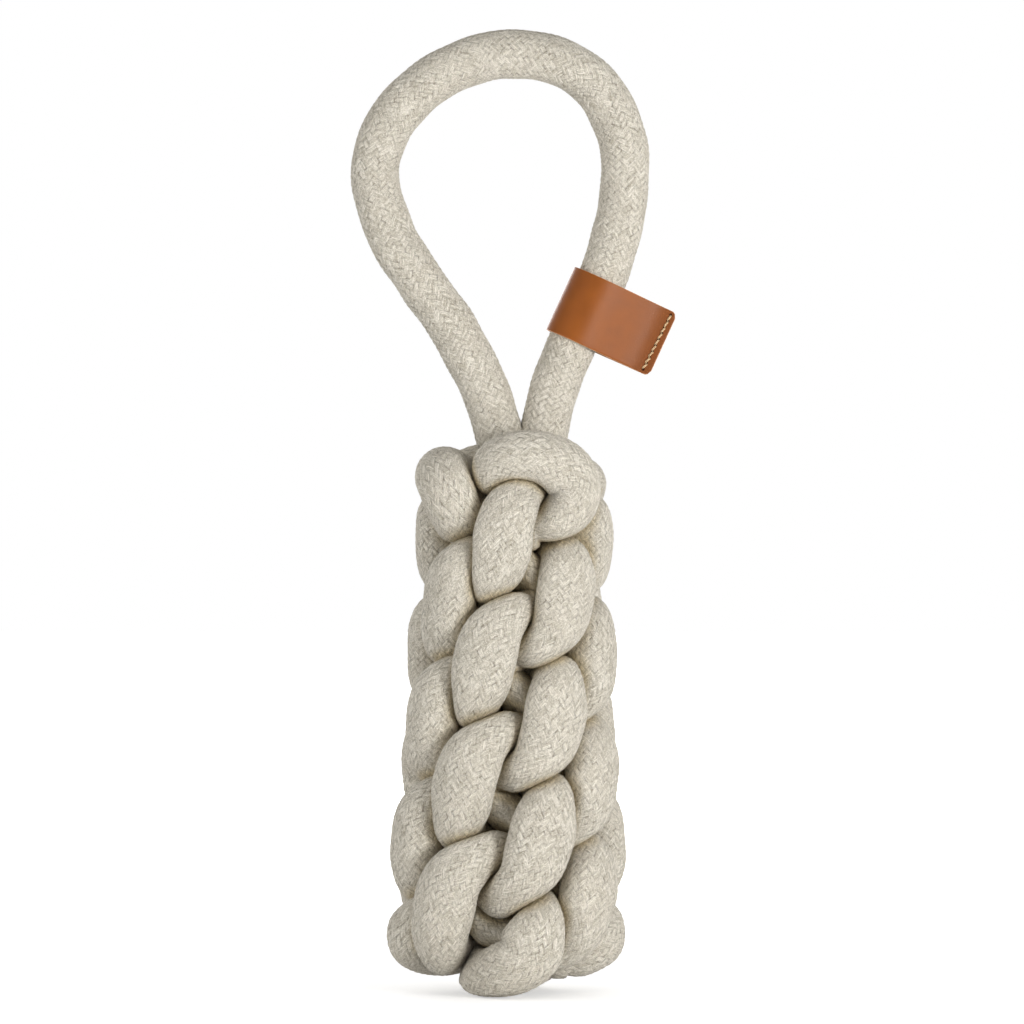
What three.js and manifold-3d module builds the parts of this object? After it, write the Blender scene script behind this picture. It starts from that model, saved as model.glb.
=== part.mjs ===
// A rope dog toy: a block of crown-knotted cotton rope with a rope loop to hold, and a leather tag sewn
// round one leg of the loop. Millimetres, +Z up, the front towards -Y, the origin under the middle of the toy.

import * as THREE from 'three';
import { mergeVertices } from 'three/addons/utils/BufferGeometryUtils.js';
import Module from 'manifold-3d';

const wasm = await Module();
wasm.setup();

// Driving dimensions

const ropeDiameter = 16;
const strandGap = 2; // between strands that press on each other
const seatGap = 0.3; // between pieces that touch

// The knotted block: four strands, crowned again and again, each crown turned from the one below.
const strandCount = 4;
const crownCount = 8;
const crownRise = 20; // from one crown to the next
const crownTurn = THREE.MathUtils.degToRad(140.5); // how far a strand goes round in one crown
const crownStart = THREE.MathUtils.degToRad(23.75);
const crossingDepth = 11.3; // how far a strand dips and rises where it passes under and over
const crossingSway = THREE.MathUtils.degToRad(15);
const firstCrownHeight = 0.7;
const chordRadius = 14.5; // where a strand passes nearest to the middle
const foldRadiusTop = 24.2; // where it folds up outside, at the top of the block
const foldRadiusBottom = 33;
const foldSquareness = 0.1; // a higher share keeps a fold out for longer before it turns in
const foldHalfWidth = 13.5; // an upright fold is pressed wide and thin
const foldHalfThickness = 7.6;
const looseRadius = 9; // of a strand in the block that lies flat
const standCut = ropeDiameter / 10; // the depth of the flats that the block stands on
const footTuck = 6; // how far a strand is drawn in where it lies on the floor
const footHeight = 9; // how fast that fades upwards
const blockLean = 3; // how far the bottom lies to the left of the top

// The top lobes: each strand's last fold leans back the other way and tucks in under its neighbour. Those
// of the handle's strands stand higher than those of the cross rope. Each point is an angle in degrees, a
// radius past the top folds and a height, from the last crown's end.
const handleLobe = [
  [69, 1.4, 2],
  [67, 2.4, 10.5],
  [44, -0.4, 17.3],
  [14, -3.4, 16],
  [-12, -7, 9.5],
  [-34, -14.7, 10.5],
];
const crossLobe = [
  [64, 0.4, 2],
  [60, 0.6, 9.5],
  [43, -1.4, 12.6],
  [14, -3.2, 11.6],
  [-12, -7, 7.6],
  [-34, -15.2, 4.5],
];

// The loop: the middle of its rope, x and height over the line that it flexes about, from the left leg over
// the top to the right leg.
const hingeRise = 29; // from the last crown to that line
const legGap = 0.4; // between the legs at their roots
const legMiddle = 2.2;
const loopPoints = [
  [-9.4, 11], [-19.1, 30], [-31.4, 48], [-41, 63.5], [-46.2, 88.5], [-32.3, 111.4], [-3, 123.6],
  [23.4, 116.6], [36, 95], [35.2, 69.5], [30.4, 51.7], [24.2, 38], [18, 24.3], [14, 15],
];

// The tag: a leather strip folded round the right leg and sewn to itself.
const tagFromRoot = 40.8; // along the leg
const tagWidth = 23;
const tagReach = 27.8; // from the leg's middle to the free end
const tagLap = 6.5; // where the two layers lie flat on each other
const tagCorner = 2;
const leatherThickness = 1.6;
const tagBoreGap = 0.7;
const seamFromEnd = 2.8;
const seamMargin = 1.4; // from the first and last holes to the tag's edges
const stitchCount = 9;
const threadDiameter = 0.6;
const threadRoom = 0.4; // round the thread in its hole
const stitchDip = 0.7; // how far the thread sinks into each hole

// Facets
const stepsPerCrown = 15;
const strandSides = 8;
const loopSteps = 64;
const loopSides = 12;
const tagTurns = 14;
const stitchSteps = 7;
const threadSides = 5;

const ropeRadius = ropeDiameter / 2;
const stitchHole = threadDiameter + 2 * threadRoom;
const lastCrownHeight = crownCount * crownRise;
const hingeHeight = lastCrownHeight + hingeRise;

// Curves and tubes

function around(angle, radius, height) {
  return new THREE.Vector3(radius * Math.cos(angle), radius * Math.sin(angle), height);
}

function smooth(points) {
  return new THREE.CatmullRomCurve3(points, false, 'centripetal');
}

// Unit vectors along a row of points, and two across it that turn as little as they can.
function framesAlong(points, firstAcross) {
  const frames = [];
  let across = firstAcross.clone();
  points.forEach((point, i) => {
    const before = points[Math.max(i - 1, 0)];
    const after = points[Math.min(i + 1, points.length - 1)];
    const along = after.clone().sub(before).normalize();
    across = across.clone().addScaledVector(along, -across.dot(along)).normalize();
    frames.push({ point, along, across, other: along.clone().cross(across) });
  });
  return frames;
}

function direction(frame, side, sides) {
  const angle = (2 * Math.PI * (side + 0.5)) / sides;
  return frame.across.clone().multiplyScalar(Math.cos(angle)).addScaledVector(frame.other, Math.sin(angle));
}

// A closed tube through rings of equal counts, with a middle point that closes each end.
function tube(rings, firstPole, lastPole) {
  const sides = rings[0].length;
  const positions = [...rings.flat(), firstPole, lastPole].flatMap((point) => point.toArray());
  const pole = rings.length * sides;
  const index = [];
  for (let side = 0; side < sides; side += 1) {
    const next = (side + 1) % sides;
    index.push(pole, next, side);
    for (let ring = 0; ring < rings.length - 1; ring += 1) {
      const low = ring * sides;
      const high = low + sides;
      index.push(low + side, low + next, high + next, low + side, high + next, high + side);
    }
    const last = (rings.length - 1) * sides;
    index.push(pole + 1, last + side, last + next);
  }
  const geometry = new THREE.BufferGeometry();
  geometry.setAttribute('position', new THREE.Float32BufferAttribute(positions, 3));
  geometry.setIndex(index);
  return geometry;
}

function roundTube(points, radius, sides, firstAcross) {
  const rings = framesAlong(points, firstAcross).map((frame) => Array.from({ length: sides }, (_, side) =>
    frame.point.clone().addScaledVector(direction(frame, side, sides), radius)));
  return tube(rings, points[0], points[points.length - 1]);
}

// Booleans

function solid(geometry) {
  const bare = geometry.clone();
  bare.deleteAttribute('normal');
  bare.deleteAttribute('uv');
  const merged = mergeVertices(bare, 1e-4);
  return new wasm.Manifold(new wasm.Mesh({
    numProp: 3,
    vertProperties: new Float32Array(merged.attributes.position.array),
    triVerts: new Uint32Array(merged.index.array),
  }));
}

function geometryOf(body) {
  const mesh = body.getMesh();
  const geometry = new THREE.BufferGeometry();
  geometry.setAttribute('position', new THREE.BufferAttribute(new Float32Array(mesh.vertProperties), 3));
  geometry.setIndex(new THREE.BufferAttribute(new Uint32Array(mesh.triVerts), 1));
  return geometry;
}

// The middle of the loop, and the line of each leg where it meets the block

const legReach = (ropeDiameter + legGap) / 2;
const legRoots = [-1, 1].map((side) => new THREE.Vector3(legMiddle + side * legReach, 0, hingeHeight));
const loopCurve = smooth([
  legRoots[0],
  ...loopPoints.map(([x, height]) => new THREE.Vector3(x, 0, hingeHeight + height)),
  legRoots[1],
]);
const legLines = [loopCurve.getTangentAt(0), loopCurve.getTangentAt(1).negate()];

// The knotted strands

// The middle of one strand, counted in crowns from the bottom: it goes round, breathes in to pass the middle
// and out to fold, dips under one neighbour and rises over the next.
function crownPoint(strand, crown) {
  const phase = 2 * Math.PI * crown;
  const start = crownStart + (2 * Math.PI * strand) / strandCount;
  const angle = start + crownTurn * crown + crossingSway * Math.sin(phase);
  const share = Math.min(crown / crownCount, 1);
  const foldRadius = THREE.MathUtils.lerp(foldRadiusBottom, foldRadiusTop, share);
  const inward = (Math.cos(phase) - foldSquareness * Math.cos(3 * phase)) / (1 - foldSquareness);
  const radius = (chordRadius + foldRadius) / 2 + ((chordRadius - foldRadius) / 2) * inward;
  const height = firstCrownHeight + crownRise * crown - crossingDepth * Math.sin(phase);
  const floor = foldHalfThickness - standCut;
  const lifted = (height + floor + Math.hypot(height - floor, 4)) / 2;
  const foot = Math.exp(-(((lifted - floor) / footHeight) ** 2));
  const out = (radius - chordRadius) / (foldRadius - chordRadius);
  const point = around(angle, radius - footTuck * foot * out, lifted);
  point.x -= blockLean * (1 - share);
  return point;
}

function lobePoint(strand, [degrees, past, rise]) {
  const end = crownStart + (2 * Math.PI * strand) / strandCount + crownTurn * crownCount;
  return around(end + THREE.MathUtils.degToRad(degrees), foldRadiusTop + past, lastCrownHeight + rise);
}

function strandPoints(strand, lobe) {
  const points = [];
  for (let step = 0; step <= (crownCount + 0.25) * stepsPerCrown; step += 1) {
    points.push(crownPoint(strand, step / stepsPerCrown));
  }
  return [...points, ...lobe.map((point) => lobePoint(strand, point))];
}

// Two strands end under the loop's legs.
function handleStrand(strand, leg) {
  const end = legRoots[leg].clone().addScaledVector(legLines[leg], -ropeRadius - strandGap / 2);
  return [...strandPoints(strand, handleLobe), end];
}

// The other two are one rope, which passes through the middle under the legs.
function crossRope(strand, opposite) {
  const first = strandPoints(strand, crossLobe);
  const second = strandPoints(opposite, crossLobe);
  const middle = new THREE.Vector3(0, 0, first[first.length - 1].z - 1);
  return [...first, middle, ...second.reverse()];
}

const strandSteps = Math.round((crownCount + 0.7) * stepsPerCrown);

function route(points, count) {
  const even = smooth(points).getSpacedPoints(count);
  return { points: even, step: even[0].distanceTo(even[1]) };
}

const routes = {
  handle_strand_left: route(handleStrand(2, 0), strandSteps),
  handle_strand_right: route(handleStrand(0, 1), strandSteps),
  cross_rope: route(crossRope(1, 3), 2 * strandSteps),
};

const ownLength = 2 * ropeDiameter; // a rope this near along itself is no neighbour
const nearby = 2.5 * ropeDiameter;
const leastReach = 1;

// Which ways the neighbours of a point on a strand lie, and how far it may reach towards each.
function neighbours(name, at) {
  const point = routes[name].points[at];
  const found = [];
  for (const [other, { points, step }] of Object.entries(routes)) {
    points.forEach((there, i) => {
      const distance = point.distanceTo(there);
      if (distance > nearby || (other === name && Math.abs(i - at) * step < ownLength)) return;
      found.push({ to: there.clone().sub(point).divideScalar(distance), limit: (distance - strandGap) / 2 });
    });
  }
  for (const root of legRoots) {
    const distance = point.distanceTo(root);
    const limit = distance - ropeRadius - strandGap / 2;
    found.push({ to: root.clone().sub(point).divideScalar(distance), limit });
  }
  return found;
}

// A strand fills its own side of the space that it shares with its neighbours, up to its free section.
function strandRings(name) {
  const frames = framesAlong(routes[name].points, new THREE.Vector3(1, 0, 0));
  return frames.map((frame, at) => {
    const outward = new THREE.Vector3(frame.point.x, frame.point.y, 0).normalize();
    const flat = outward.clone().addScaledVector(frame.along, -outward.dot(frame.along));
    const pressed = flat.lengthSq() * frame.along.z ** 2;
    flat.normalize();
    const wide = THREE.MathUtils.lerp(looseRadius, foldHalfWidth, pressed);
    const thin = THREE.MathUtils.lerp(looseRadius, foldHalfThickness, pressed);
    const crowd = neighbours(name, at);
    return Array.from({ length: strandSides }, (_, side) => {
      const way = direction(frame, side, strandSides);
      const across = way.dot(flat) ** 2;
      let reach = 1 / Math.sqrt(across / thin ** 2 + (1 - across) / wide ** 2);
      for (const { to, limit } of crowd) {
        const facing = way.dot(to);
        if (facing > 0.05) reach = Math.min(reach, limit / facing);
      }
      return frame.point.clone().addScaledVector(way, Math.max(reach, leastReach));
    });
  });
}

// The least gap that a strand keeps to itself, from point to point.
function gapToItself(rings, step) {
  const apart = Math.ceil(ownLength / step);
  let least = Infinity;
  rings.forEach((ring, at) => {
    const others = rings.slice(at + apart).flat();
    for (const point of ring) {
      for (const other of others) least = Math.min(least, point.distanceTo(other));
    }
  });
  return least;
}

const standing = new THREE.BoxGeometry(200, 200, 40).translate(0, 0, -20);

function strandGeometry(name) {
  const { points, step } = routes[name];
  const rings = strandRings(name);
  console.log(`${name}: least gap to itself ${gapToItself(rings, step).toFixed(2)} mm`);
  const whole = tube(rings, points[0], points[points.length - 1]);
  return geometryOf(solid(whole).subtract(solid(standing)));
}

// The loop, with round ends on the line that it flexes about

function loopGeometry() {
  const frames = framesAlong(loopCurve.getSpacedPoints(loopSteps), new THREE.Vector3(0, 1, 0));
  const ring = (frame, offset, radius) => Array.from({ length: loopSides }, (_, side) =>
    frame.point.clone().addScaledVector(frame.along, offset)
      .addScaledVector(direction(frame, side, loopSides), radius));
  const rings = frames.map((frame) => ring(frame, 0, ropeRadius));
  const first = frames[0];
  const last = frames[frames.length - 1];
  for (const degrees of [30, 60]) {
    const angle = THREE.MathUtils.degToRad(degrees);
    rings.unshift(ring(first, -ropeRadius * Math.sin(angle), ropeRadius * Math.cos(angle)));
    rings.push(ring(last, ropeRadius * Math.sin(angle), ropeRadius * Math.cos(angle)));
  }
  const firstPole = first.point.clone().addScaledVector(first.along, -ropeRadius);
  const lastPole = last.point.clone().addScaledVector(last.along, ropeRadius);
  return tube(rings, firstPole, lastPole);
}

// The tag and its seam, drawn across the leg: x towards the free end, y to the back, z along the leg

const foldInside = ropeRadius + tagBoreGap;
const foldOutside = foldInside + leatherThickness;
const layerInside = seatGap / 2; // from the tag's middle plane to each layer
const layerOutside = layerInside + leatherThickness;
const seamX = tagReach - seamFromEnd;
const stitchLength = (tagWidth - 2 * seamMargin) / stitchCount;
const stitchHeights = Array.from({ length: stitchCount + 1 }, (_, i) =>
  seamMargin + i * stitchLength - tagWidth / 2);

// One side of half the strip: round the leg from the fold, straight to the lap and flat to the free end.
function stripSide(radius, lapHeight) {
  const lapStart = new THREE.Vector2(tagReach - tagLap, lapHeight);
  const leave = lapStart.angle() + Math.acos(radius / lapStart.length());
  const round = Array.from({ length: tagTurns + 1 }, (_, i) => {
    const angle = THREE.MathUtils.lerp(Math.PI, leave, i / tagTurns);
    return new THREE.Vector2(radius * Math.cos(angle), radius * Math.sin(angle));
  });
  return [...round, lapStart, new THREE.Vector2(tagReach, lapHeight)];
}

function tagGeometry() {
  const outside = stripSide(foldOutside, layerOutside);
  const inside = stripSide(foldInside, layerInside);
  const upper = [...outside, ...inside.reverse()];
  const lower = upper.slice(1, -1).reverse().map((point) => new THREE.Vector2(point.x, -point.y));
  const half = tagWidth / 2;
  const strip = new THREE.ExtrudeGeometry(new THREE.Shape([...upper, ...lower]), {
    depth: tagWidth,
    bevelEnabled: false,
  }).translate(0, 0, -half);
  const corner = tagReach - tagCorner;
  const outline = new THREE.Shape()
    .moveTo(-tagReach, -half)
    .lineTo(corner, -half)
    .absarc(corner, tagCorner - half, tagCorner, -Math.PI / 2, 0)
    .absarc(corner, half - tagCorner, tagCorner, 0, Math.PI / 2)
    .lineTo(-tagReach, half);
  const rounding = new THREE.ExtrudeGeometry(outline, {
    depth: 2 * tagReach,
    bevelEnabled: false,
    curveSegments: 4,
  }).rotateX(Math.PI / 2).translate(0, tagReach, 0);
  let body = solid(strip).intersect(solid(rounding));
  for (const height of stitchHeights) {
    const hole = new THREE.CylinderGeometry(stitchHole / 2, stitchHole / 2, tagReach, 8);
    body = body.subtract(solid(hole.translate(seamX, 0, height)));
  }
  return geometryOf(body);
}

// One thread of the seam: over the leather from hole to hole, and a little way down each hole.
function threadGeometry(face) {
  const over = face * (layerOutside + threadDiameter / 2 + seatGap);
  const under = face * (layerOutside - stitchDip);
  const points = stitchHeights.flatMap((height, i) => {
    const dip = new THREE.Vector3(seamX, under, height);
    if (i === stitchCount) return [dip];
    const rise = [0.27, 0.73].map((share) => new THREE.Vector3(seamX, over, height + share * stitchLength));
    return [dip, ...rise];
  });
  const even = smooth(points).getSpacedPoints(stitchCount * stitchSteps);
  return roundTube(even, threadDiameter / 2, threadSides, new THREE.Vector3(1, 0, 0));
}

// Assembly

const cotton = new THREE.MeshStandardMaterial({ color: 0xcdc6b6, roughness: 0.95, metalness: 0 });
const leather = new THREE.MeshStandardMaterial({ color: 0xa55f2d, roughness: 0.5, metalness: 0 });
const thread = new THREE.MeshStandardMaterial({ color: 0xd9c3a0, roughness: 0.8, metalness: 0 });

const toy = new THREE.Group();

function add(group, name, geometry, material) {
  const mesh = new THREE.Mesh(geometry, material);
  mesh.name = name;
  group.add(mesh);
}

for (const name of Object.keys(routes)) add(toy, name, strandGeometry(name), cotton);
add(toy, 'handle_loop', loopGeometry(), cotton);

const tag = new THREE.Group();
const tagShare = 1 - tagFromRoot / loopCurve.getLength();
const tagLine = loopCurve.getTangentAt(tagShare).negate();
tag.position.copy(loopCurve.getPointAt(tagShare));
tag.rotation.y = Math.atan2(tagLine.x, tagLine.z);
toy.add(tag);
add(tag, 'leather_tag', tagGeometry(), leather);
add(tag, 'seam_thread_front', threadGeometry(-1), thread);
add(tag, 'seam_thread_back', threadGeometry(1), thread);

export default toy;
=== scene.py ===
"""The looks of a rope dog toy: a block of crown-knotted cotton rope, a rope loop and a leather tag.

Metres, +Z up, the front towards -Y, in the same frame as the solids.
"""

import math

import bpy
import numpy as np
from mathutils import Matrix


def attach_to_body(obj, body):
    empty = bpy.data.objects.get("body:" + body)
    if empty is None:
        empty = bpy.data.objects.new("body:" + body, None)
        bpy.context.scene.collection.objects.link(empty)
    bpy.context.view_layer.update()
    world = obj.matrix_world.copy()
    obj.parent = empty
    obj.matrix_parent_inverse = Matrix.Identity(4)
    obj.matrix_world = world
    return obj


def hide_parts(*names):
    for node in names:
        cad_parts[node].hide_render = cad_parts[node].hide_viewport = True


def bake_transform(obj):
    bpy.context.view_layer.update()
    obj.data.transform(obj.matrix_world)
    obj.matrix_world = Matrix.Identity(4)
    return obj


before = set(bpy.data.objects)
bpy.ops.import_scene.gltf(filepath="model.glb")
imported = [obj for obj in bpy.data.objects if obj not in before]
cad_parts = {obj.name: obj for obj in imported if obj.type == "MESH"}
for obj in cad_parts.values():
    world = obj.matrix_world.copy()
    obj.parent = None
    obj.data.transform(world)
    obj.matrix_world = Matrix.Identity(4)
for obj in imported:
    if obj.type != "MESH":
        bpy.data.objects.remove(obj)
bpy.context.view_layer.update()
bpy.ops.object.select_all(action="DESELECT")

MM = 0.001

# The rope

ROPE_RADIUS = 8 * MM
LOOP_PAIRS = 11  # pairs of columns round the braid, one leaning each way
STRAND_PAIRS = 14  # on the strands, which are pressed wider
PICK_PITCH = math.pi * ROPE_RADIUS / LOOP_PAIRS  # from pick to pick along the rope
PICK_RELIEF = 0.34 * MM
YARNS = 3  # side by side in a pick
COLUMN_WANDER = 0.006  # how far columns stray, as a share of the way round
PICK_WANDER = 0.3  # how far picks stray along the rope, in picks
PICK_ROUNDNESS = 0.9
PICK_DIVE = 0.8  # how deep a pick's ends go down
UNEVENNESS = 0.25 * MM  # of the rope's thickness

# The knotted block: the knot of the solids, plumper and less regular

STRAND_COUNT = 4
CROWN_COUNT = 8
CROWN_POINTS = 15  # on the route, for each crown
CROWN_REST = 0.25  # of a crown more, before the lobes on top
FIRST_FOLD = 0.5  # in crowns from a strand's start
CROWN_RISE = 20 * MM
CROWN_TURN = math.radians(140.5)
CROWN_START = math.radians(23.75)
CROSSING_DEPTH = 11.3 * MM
CROSSING_SWAY = math.radians(15)
SPREAD_LEFT = math.radians(3)  # every second crown stands to the left, more so towards the top
SPREAD_LEFT_RISE = math.radians(0.8)
SPREAD_RIGHT = math.radians(3)  # the others stand to the right, more so at the bottom
SPREAD_FOOT = math.radians(6)
SPREAD_FOOT_FADE = 1.2  # in crowns
FIRST_CROWN_HEIGHT = 0.7 * MM
CHORD_RADIUS = 14.5 * MM
FOLD_RADIUS_TOP = 23.4 * MM
FOLD_RADIUS_BOTTOM = 35.2 * MM
FOLD_SQUARENESS = 0.1
FOLD_HALF_WIDTH = 11.8 * MM
FOLD_HALF_THICKNESS = 7.6 * MM
FOLD_PILLOW = 8.9 * MM  # its half thickness as it looks, plumper than the solid
LOOSE_RADIUS = 9.5 * MM
STAND_CUT = 2.8 * MM
FLOOR_SOFTNESS = 6 * MM
FOOT_TUCK = 2.5 * MM
FOOT_HEIGHT = 9 * MM
FOOT_LIFT = 6 * MM  # the outer edge of the lowest folds, clear of the floor
CROSS_FOOT_LIFT = 7 * MM  # the cross rope's lowest folds, carried by the others
START_LIFT = 7 * MM  # the strands' first ends, tucked up inside
START_CROWNS = 0.16  # how much of the first crown that takes
BLOCK_LEAN = 3 * MM
LOBE_RADIUS = 24.2 * MM
HANDLE_LOBE = [
    (69, 1.4, 2), (67, 2.4, 10.5), (44, -0.4, 17.3), (14, -3.4, 16), (-12, -7, 9.5), (-34, -14.7, 10.5),
]
BACK_LOBE = [
    (69, 1.4, 2), (67, 2.0, 9.5), (44, -1.4, 14), (14, -4.4, 13), (-12, -7.6, 8.5), (-34, -14.7, 10.5),
]
CROSS_LOBE = [
    (64, 1.6, 1.5), (60, 3.2, 8), (43, 1, 12), (14, -2.6, 11.6), (-12, -7, 7.6), (-34, -15.2, 4.5),
]
CROSS_BACK_LOBE = [
    (64, 0.4, 1), (60, 0.6, 6.5), (43, -1.4, 8.6), (14, -3.2, 8.6), (-12, -7, 6.6), (-34, -15.2, 4.5),
]
CROSS_DIP = 1 * MM  # the cross rope's middle, under its ends
LEG_ROOM = 1 * MM  # between a leg of the loop and the strand that it goes on into
STRAND_GAP = 0.4 * MM  # between strands that press on each other
PRESS_SHARPNESS = 6
OUTER_PUSH = 7 * MM  # how much the outer of two strands pushes the inner one back
OUTER_MOST = 6 * MM
CORE_SWELL = 11 * MM  # more of each strand towards the middle of the block, which the crossings fill
CORE_RADIUS = 18 * MM
CORE_FADE = 6 * MM
CORE_FOOT = (16 * MM, 30 * MM)  # heights between which the swelling comes in
CORE_HEAD = (152 * MM, 162 * MM)  # and between which it goes out
CORE_SIDE = (0.5, -0.3)  # outward share of a direction, from no swelling to all of it
CREASE_SHADE_FOOT = (10 * MM, 26 * MM)  # heights between which the painted crease shade comes in
START_ROUND = 7 * MM
START_LEAST = 0.02  # of that length, so that the first ring has a size

# The loop, as in the solids

HINGE_HEIGHT = 189 * MM
LEG_MIDDLE = 2.2 * MM
LEG_REACH = 8.2 * MM
LOOP_POINTS = [
    (-9.4, 11), (-19.1, 30), (-31.4, 48), (-41, 63.5), (-46.2, 88.5), (-32.3, 111.4), (-3, 123.6),
    (23.4, 116.6), (36, 95), (35.2, 69.5), (30.4, 51.7), (24.2, 38), (18, 24.3), (14, 15),
]
LEG_TAIL = 14 * MM  # how far each leg goes on into the block
LOOP_STEP = 0.5 * MM

# The tag, as in the solids, but with a slanting seam of fuller thread

TAG_FROM_ROOT = 40.8 * MM
TAG_WIDTH = 23 * MM
TAG_REACH = 27.8 * MM
TAG_LAP = 6.5 * MM
TAG_CORNER = 2 * MM
TAG_EDGE = 0.3 * MM
LEATHER_THICKNESS = 1.6 * MM
TAG_BORE_GAP = 0.7 * MM
LAYER_GAP = 0.3 * MM
SEAM_FROM_END = 2.8 * MM
SEAM_MARGIN = 1.4 * MM
STITCH_COUNT = 9
SEAM_SLANT = 1 * MM  # nearer the end at the top
THREAD_RADIUS = 0.34 * MM
THREAD_SIDES = 12
THREAD_STEP = 0.12 * MM
THREAD_DEPTH = 0.7 * MM  # under the leather's face, in the holes
PLY_LENGTH = 0.5 * MM
STITCH_SLANT = 0.4 * MM
STITCH_HOLE = 1.1 * MM
STITCH_HOLE_DEPTH = 1.2 * MM


# Lines


def curve_through(points, steps=16):
    """A smooth line through points, by the centripetal rule."""
    line = np.array(points, float)
    line = np.vstack([2 * line[0] - line[1], line, 2 * line[-1] - line[-2]])
    share = (np.arange(steps) / steps)[:, None]
    spans = []
    for before, start, end, after in zip(line[:-3], line[1:-2], line[2:-1], line[3:]):
        first = np.linalg.norm(start - before) ** 0.5
        second = np.linalg.norm(end - start) ** 0.5
        third = np.linalg.norm(after - end) ** 0.5
        leave = (start - before) / first - (end - before) / (first + second) + (end - start) / second
        arrive = (end - start) / second - (after - start) / (second + third) + (after - end) / third
        leave *= second
        arrive *= second
        square = 3 * (end - start) - 2 * leave - arrive
        cube = 2 * (start - end) + leave + arrive
        spans.append(start + leave * share + square * share**2 + cube * share**3)
    spans.append(line[-2:-1])
    return np.vstack(spans)


def distances(line):
    steps = np.linalg.norm(np.diff(line, axis=0), axis=1)
    return np.concatenate([[0], np.cumsum(steps)])


def points_at(line, at):
    along = distances(line)
    return np.stack([np.interp(at, along, line[:, axis]) for axis in range(3)], axis=1)


def evenly(line, step):
    length = distances(line)[-1]
    return points_at(line, np.linspace(0, length, max(2, round(length / step)) + 1))


def unit(vectors):
    return vectors / np.maximum(np.linalg.norm(vectors, axis=-1, keepdims=True), 1e-12)


def frames_along(line, first_across):
    """Unit vectors along a line, and two across it that turn as little as they can."""
    along = unit(np.gradient(line, axis=0))
    across = np.empty_like(line)
    last = np.array(first_across, float)
    for i, way in enumerate(along):
        last = unit(last - way * last.dot(way))
        across[i] = last
    return along, across, np.cross(along, across)


def smoothstep(low, high, value):
    share = np.clip((value - low) / (high - low), 0, 1)
    return share * share * (3 - 2 * share)


# The routes of the ropes


def around(angle, radius, height):
    return np.stack([radius * np.cos(angle), radius * np.sin(angle), height], axis=-1)


def crown_points(strand, crowns):
    phase = 2 * math.pi * crowns
    start = CROWN_START + 2 * math.pi * strand / STRAND_COUNT
    angle = start + CROWN_TURN * crowns + CROSSING_SWAY * np.sin(phase)
    aside = np.where(crowns < CROWN_COUNT, np.sin(phase / 2), 0)
    to_right = SPREAD_RIGHT + SPREAD_FOOT * np.exp((FIRST_FOLD - crowns) / SPREAD_FOOT_FADE)
    to_left = SPREAD_LEFT + SPREAD_LEFT_RISE * (crowns - (FIRST_FOLD + 1))
    angle = angle + aside * np.where(aside > 0, to_right, to_left)
    share = np.minimum(crowns / CROWN_COUNT, 1)
    fold_radius = FOLD_RADIUS_BOTTOM + (FOLD_RADIUS_TOP - FOLD_RADIUS_BOTTOM) * share
    inward = (np.cos(phase) - FOLD_SQUARENESS * np.cos(3 * phase)) / (1 - FOLD_SQUARENESS)
    radius = (CHORD_RADIUS + fold_radius) / 2 + (CHORD_RADIUS - fold_radius) / 2 * inward
    height = FIRST_CROWN_HEIGHT + CROWN_RISE * crowns - CROSSING_DEPTH * np.sin(phase)
    out = (radius - CHORD_RADIUS) / (fold_radius - CHORD_RADIUS)
    floor = FOLD_HALF_THICKNESS - STAND_CUT + FOOT_LIFT * out**2
    floor = floor + START_LIFT * np.exp(-((crowns / START_CROWNS) ** 2))
    floor = floor + CROSS_FOOT_LIFT * (strand % 2)
    lifted = (height + floor + np.hypot(height - floor, FLOOR_SOFTNESS)) / 2
    foot = np.exp(-(((lifted - floor) / FOOT_HEIGHT) ** 2))
    points = around(angle, radius - FOOT_TUCK * foot * out, lifted)
    points[:, 0] -= BLOCK_LEAN * (1 - share)
    return points


def lobe_point(strand, place):
    degrees, past, rise = place
    end = CROWN_START + 2 * math.pi * strand / STRAND_COUNT + CROWN_TURN * CROWN_COUNT
    angle = end + math.radians(degrees)
    return around(angle, LOBE_RADIUS + past * MM, CROWN_COUNT * CROWN_RISE + rise * MM)


def strand_points(strand, lobe):
    last = math.floor((CROWN_COUNT + CROWN_REST) * CROWN_POINTS)
    crowns = np.arange(last + 1) / CROWN_POINTS
    return np.vstack([crown_points(strand, crowns), *(lobe_point(strand, place) for place in lobe)])


leg_roots = np.array([[LEG_MIDDLE + side * LEG_REACH, 0, HINGE_HEIGHT] for side in (-1, 1)])
loop_places = [(x * MM, 0, HINGE_HEIGHT + height * MM) for x, height in LOOP_POINTS]
loop_line = evenly(curve_through([leg_roots[0], *loop_places, leg_roots[1]]), LOOP_STEP)
leg_ways = unit(np.array([loop_line[1] - loop_line[0], loop_line[-2] - loop_line[-1]]))


def handle_strand(strand, lobe, leg):
    end = leg_roots[leg] - leg_ways[leg] * (ROPE_RADIUS + LEG_ROOM)
    return curve_through([*strand_points(strand, lobe), end])


def cross_rope():
    first = strand_points(1, CROSS_LOBE)
    second = strand_points(3, CROSS_BACK_LOBE)
    middle = np.array([0, 0, first[-1][2] - CROSS_DIP])
    return curve_through([*first, middle, *second[::-1]])


routes = {
    "left": handle_strand(2, HANDLE_LOBE, 0),
    "right": handle_strand(0, BACK_LOBE, 1),
    "cross": cross_rope(),
}

# Points on every rope of the block, for what presses on what

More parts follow.
